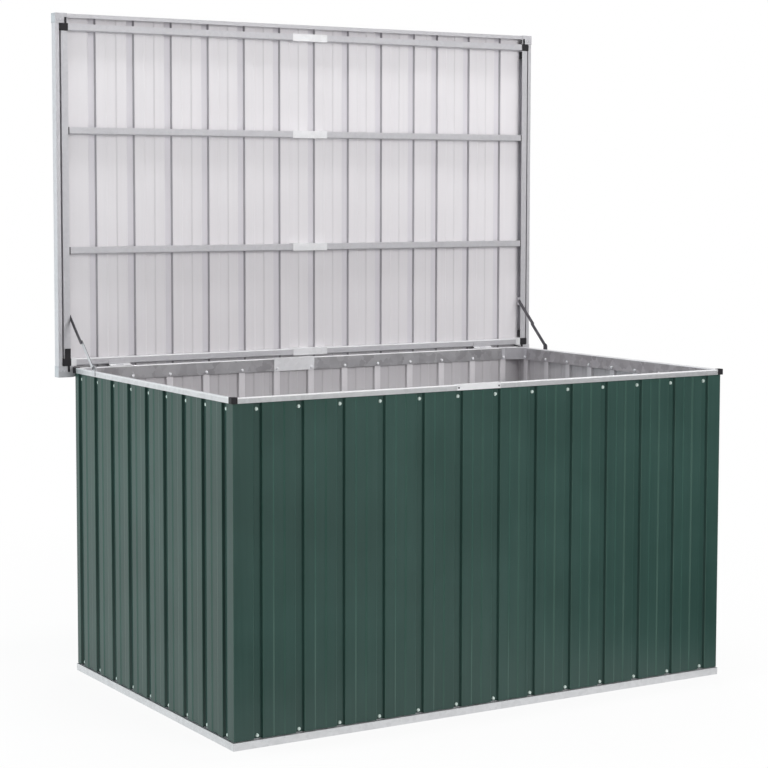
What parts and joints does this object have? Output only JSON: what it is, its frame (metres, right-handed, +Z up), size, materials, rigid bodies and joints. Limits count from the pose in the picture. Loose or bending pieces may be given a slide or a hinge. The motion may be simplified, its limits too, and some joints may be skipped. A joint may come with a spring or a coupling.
{
  "type": "garden storage box",
  "caption": "Long garden storage box with dark green ribbed sheet walls in galvanised channels and a ribbed lid on a tube frame that swings up on hinges and folding stays.",
  "frame": {"origin": "on the ground under the middle of the box's body", "axes": "+Z up, front of the box faces -Y, +X to the right as seen from the front, lid open"},
  "size_m": [1.6594, 1.018, 1.8895],
  "materials": {
    "wall_sheet": "satin dark green coat outside, plain grey inside",
    "lid_sheet": "satin dark green coat outside, plain pale grey inside",
    "floor_sheet": "dull galvanised",
    "channel": "galvanised",
    "lid_frame": "galvanised",
    "bright_plate": "bright galvanised",
    "hardware": "zinc plated",
    "fasteners": "zinc plated",
    "black_plastic": "matt"
  },
  "bodies": {
    "body": {"back_wall_sheet_1": "wall_sheet", "back_wall_sheet_2": "wall_sheet", "base_rail_back": "channel", "base_rail_front": "channel", "base_rail_left": "channel", "base_rail_right": "channel", "floor_sheet_left": "floor_sheet", "floor_sheet_right": "floor_sheet", "front_wall_sheet_1": "wall_sheet", "front_wall_sheet_2": "wall_sheet", "hinge_body_leaves": "hardware", "hinge_pins": "hardware", "left_wall_sheet_1": "wall_sheet", "left_wall_sheet_2": "wall_sheet", "rear_corner_brackets": "bright_plate", "right_wall_sheet_1": "wall_sheet", "right_wall_sheet_2": "wall_sheet", "rim_corner_caps": "black_plastic", "rim_rail_back_1": "channel", "rim_rail_back_2": "channel", "rim_rail_front_1": "channel", "rim_rail_front_2": "channel", "rim_rail_left": "channel", "rim_rail_right": "channel", "rim_splice_back": "bright_plate", "rim_splice_front": "bright_plate", "splice_screws": "fasteners", "stay_feet": "hardware", "stay_foot_rivets": "hardware", "wall_bolts": "fasteners", "wall_nuts": "fasteners"},
    "lid": {"hinge_lid_leaves": "hardware", "lid_bolts": "fasteners", "lid_corner_joints": "black_plastic", "lid_corner_plates": "bright_plate", "lid_rail_aft_left": "lid_frame", "lid_rail_aft_right": "lid_frame", "lid_rail_fore_left": "lid_frame", "lid_rail_fore_right": "lid_frame", "lid_rail_front_left": "lid_frame", "lid_rail_front_right": "lid_frame", "lid_rail_plugs": "black_plastic", "lid_rail_rear_left": "lid_frame", "lid_rail_rear_right": "lid_frame", "lid_rail_sleeves": "bright_plate", "lid_sheet_1": "lid_sheet", "lid_sheet_2": "lid_sheet", "lid_trim_back": "lid_frame", "lid_trim_front": "lid_frame", "lid_trim_left": "lid_frame", "lid_trim_right": "lid_frame", "lid_tube_left": "lid_frame", "lid_tube_right": "lid_frame", "stay_lid_rivets": "hardware"},
    "stay_lower_left": {"stay_lower_left": "hardware", "stay_centre_rivet_left": "hardware"},
    "stay_upper_left": {"stay_upper_left": "hardware"},
    "stay_lower_right": {"stay_lower_right": "hardware", "stay_centre_rivet_right": "hardware"},
    "stay_upper_right": {"stay_upper_right": "hardware"}
  },
  "joints": [
    {"name": "lid_hinge", "type": "hinge", "parent": "body", "child": "lid", "pos_m": [0, 0.49365, 0.8827], "axis": [1, 0, 0], "range_deg": [0, 90]},
    {"name": "stay_lower_left_fold", "type": "hinge", "parent": "body", "child": "stay_lower_left", "pos_m": [-0.788, 0.34865, 0.8897], "axis": [1, 0, 0], "range_deg": [0, 137.83]},
    {"name": "stay_upper_left_fold", "type": "hinge", "parent": "lid", "child": "stay_upper_left", "pos_m": [-0.788, 0.50065, 1.0277], "axis": [1, 0, 0], "range_deg": [-132.3, 0]},
    {"name": "stay_lower_right_fold", "type": "hinge", "parent": "body", "child": "stay_lower_right", "pos_m": [0.788, 0.34865, 0.8897], "axis": [1, 0, 0], "range_deg": [0, 137.83]},
    {"name": "stay_upper_right_fold", "type": "hinge", "parent": "lid", "child": "stay_upper_right", "pos_m": [0.788, 0.50065, 1.0277], "axis": [1, 0, 0], "range_deg": [-132.3, 0]}
  ],
  "couplings": [
    {"joint": "stay_lower_left_fold", "follows": "lid_hinge", "ratio": 1.5307},
    {"joint": "stay_upper_left_fold", "follows": "lid_hinge", "ratio": -1.4693},
    {"joint": "stay_lower_right_fold", "follows": "lid_hinge", "ratio": 1.5307},
    {"joint": "stay_upper_right_fold", "follows": "lid_hinge", "ratio": -1.4693}
  ]
}
